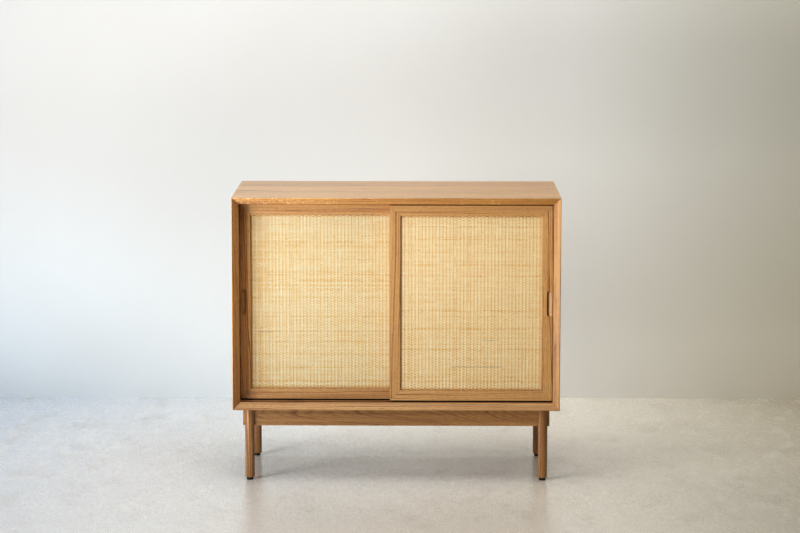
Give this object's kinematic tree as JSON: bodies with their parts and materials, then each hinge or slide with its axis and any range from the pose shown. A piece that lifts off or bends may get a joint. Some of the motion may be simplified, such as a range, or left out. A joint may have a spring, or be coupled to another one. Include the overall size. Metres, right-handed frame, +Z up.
{
  "type": "cane cabinet",
  "caption": "Low oak cabinet with a mitred, bevelled case, two sliding doors panelled in woven cane, and a rail and leg base.",
  "frame": {"origin": "Middle of the footprint of the cabinet, at floor level.", "axes": "+X is to the right as one faces the doors, +Y is from the doors to the back, +Z is up."},
  "size_m": [0.9, 0.45, 0.794],
  "materials": {
    "case_oak": "oiled oak, fine straight grain",
    "door_oak": "oiled oak, fine straight grain",
    "inner_oak": "pale oak, matt",
    "base_oak": "oiled oak, fine straight grain",
    "back_ply": "birch plywood, matt",
    "cane": "woven flat cane strips over round stakes",
    "black_nylon": "moulded nylon",
    "steel": "zinc plated steel"
  },
  "bodies": {
    "case": {"top_panel": "case_oak", "bottom_panel": "case_oak", "left_side_panel": "case_oak", "right_side_panel": "case_oak", "back_panel": "back_ply", "centre_divider": "inner_oak", "left_shelf": "inner_oak", "right_shelf": "inner_oak", "front_track": "black_nylon", "rear_track": "black_nylon", "front_rail": "base_oak", "rear_rail": "base_oak", "left_cross_rail": "base_oak", "right_cross_rail": "base_oak", "left_shelf_outer_front_pin": "steel", "left_shelf_outer_rear_pin": "steel", "left_shelf_inner_front_pin": "steel", "left_shelf_inner_rear_pin": "steel", "right_shelf_outer_front_pin": "steel", "right_shelf_outer_rear_pin": "steel", "right_shelf_inner_front_pin": "steel", "right_shelf_inner_rear_pin": "steel", "front_left_leg": "base_oak", "front_left_glide": "black_nylon", "base_screw_front_left": "steel", "front_right_leg": "base_oak", "front_right_glide": "black_nylon", "base_screw_front_right": "steel", "rear_left_leg": "base_oak", "rear_left_glide": "black_nylon", "base_screw_rear_left": "steel", "rear_right_leg": "base_oak", "rear_right_glide": "black_nylon", "base_screw_rear_right": "steel"},
    "left_door": {"left_door_outer_stile": "door_oak", "left_door_inner_stile": "door_oak", "left_door_top_rail": "door_oak", "left_door_bottom_rail": "door_oak", "left_door_cane_panel": "cane", "left_door_outer_bead": "door_oak", "left_door_inner_bead": "door_oak", "left_door_top_bead": "door_oak", "left_door_bottom_bead": "door_oak", "left_door_top_tongue": "door_oak", "left_door_bottom_runner": "black_nylon"},
    "right_door": {"right_door_outer_stile": "door_oak", "right_door_inner_stile": "door_oak", "right_door_top_rail": "door_oak", "right_door_bottom_rail": "door_oak", "right_door_cane_panel": "cane", "right_door_outer_bead": "door_oak", "right_door_inner_bead": "door_oak", "right_door_top_bead": "door_oak", "right_door_bottom_bead": "door_oak", "right_door_top_tongue": "door_oak", "right_door_bottom_runner": "black_nylon"}
  },
  "joints": [
    {"name": "left_door_slide", "type": "slide", "parent": "case", "child": "left_door", "axis": [1, 0, 0], "range_m": [0, 0.4125]},
    {"name": "right_door_slide", "type": "slide", "parent": "case", "child": "right_door", "axis": [1, 0, 0], "range_m": [-0.4125, 0]}
  ]
}
